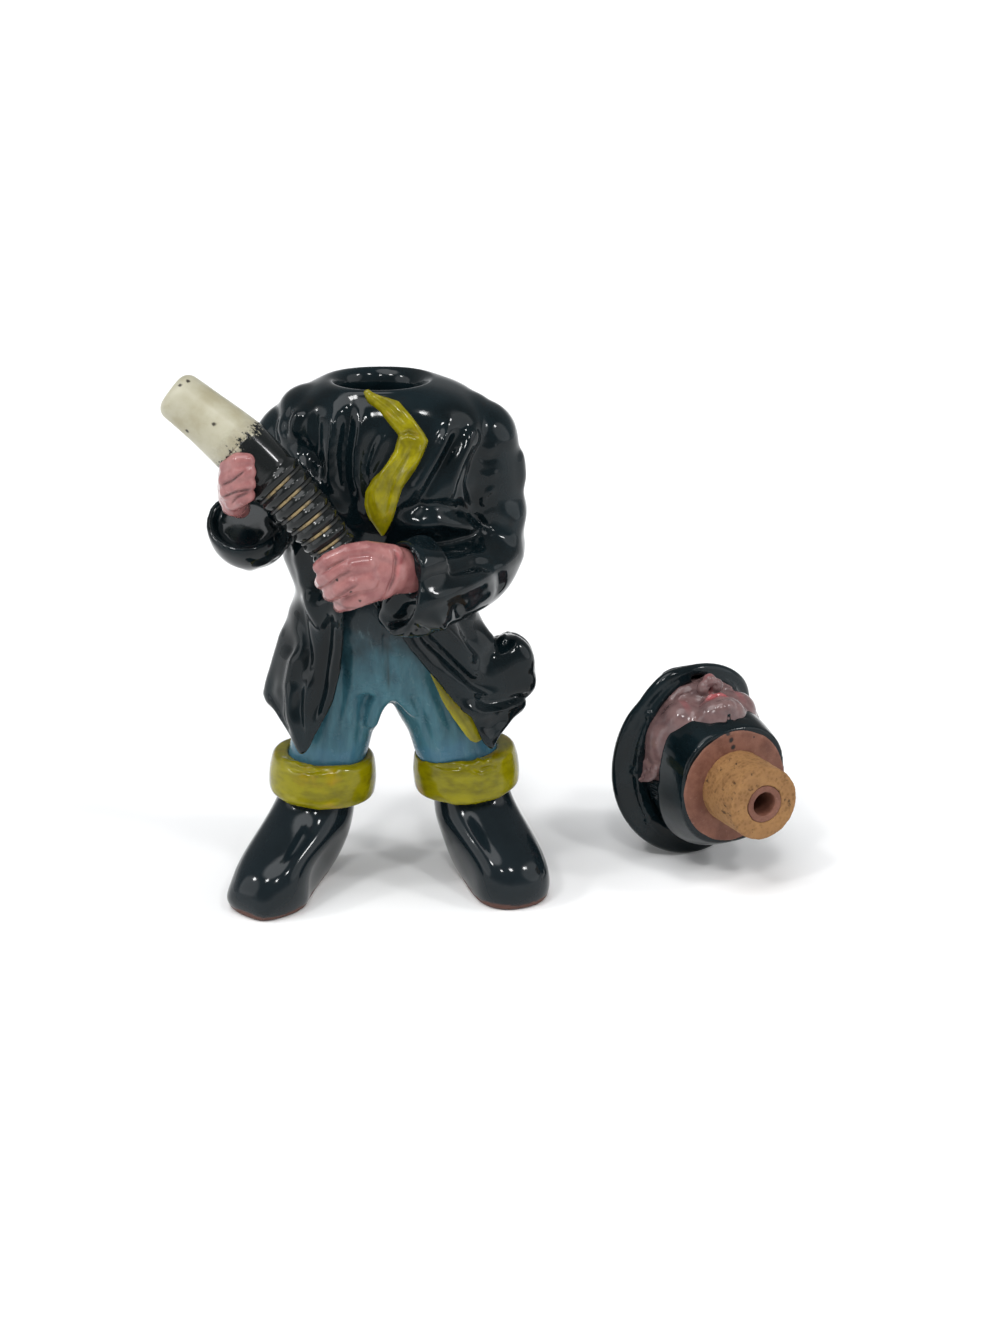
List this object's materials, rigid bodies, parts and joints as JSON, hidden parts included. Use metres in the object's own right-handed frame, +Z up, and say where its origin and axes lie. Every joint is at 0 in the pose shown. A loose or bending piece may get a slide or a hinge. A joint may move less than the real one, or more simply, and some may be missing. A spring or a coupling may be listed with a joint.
{
  "type": "figural liquor decanter",
  "caption": "Glazed ceramic bottle shaped as a standing firefighter with a hose nozzle; the helmeted head on a cork sleeve is its stopper and lies beside it.",
  "frame": {"origin": "on the table, at the middle of the outline of figure and lying stopper together", "axes": "+Z up along the bottle's neck, -Y towards the viewer, whom the figure faces, +X from the figure to the lying stopper"},
  "size_m": [0.2176, 0.1126, 0.1957],
  "materials": {
    "black_glaze": "glossy glaze",
    "blue_glaze": "glossy brushed glaze",
    "yellow_glaze": "glossy uneven glaze",
    "pink_glaze": "glossy glaze",
    "cream_glaze": "satin glaze",
    "gilt": "worn gilding",
    "terracotta": "matte unglazed clay",
    "cork": "pitted natural cork"
  },
  "bodies": {
    "figure": {"coat_body": "black_glaze", "coat_skirt": "black_glaze", "skirt_lining": "yellow_glaze", "lapel_lining": "yellow_glaze", "right_sleeve": "black_glaze", "left_sleeve": "black_glaze", "right_hand": "pink_glaze", "left_hand": "pink_glaze", "hose_barrel": "black_glaze", "grip_cords": "gilt", "nozzle_tip": "cream_glaze", "trousers": "blue_glaze", "right_boot_cuff": "yellow_glaze", "left_boot_cuff": "yellow_glaze", "right_boot": "black_glaze", "left_boot": "black_glaze"},
    "stopper": {"cork_sleeve": "cork", "neck_base": "terracotta", "head": "pink_glaze", "ears": "pink_glaze", "hair": "black_glaze", "collar": "black_glaze", "helmet": "black_glaze", "helmet_shield": "black_glaze"}
  },
  "joints": [
    {"name": "stopper_lift", "type": "slide", "parent": "figure", "child": "stopper", "axis": [0, 0, 1], "range_m": [0, 0.17]}
  ]
}
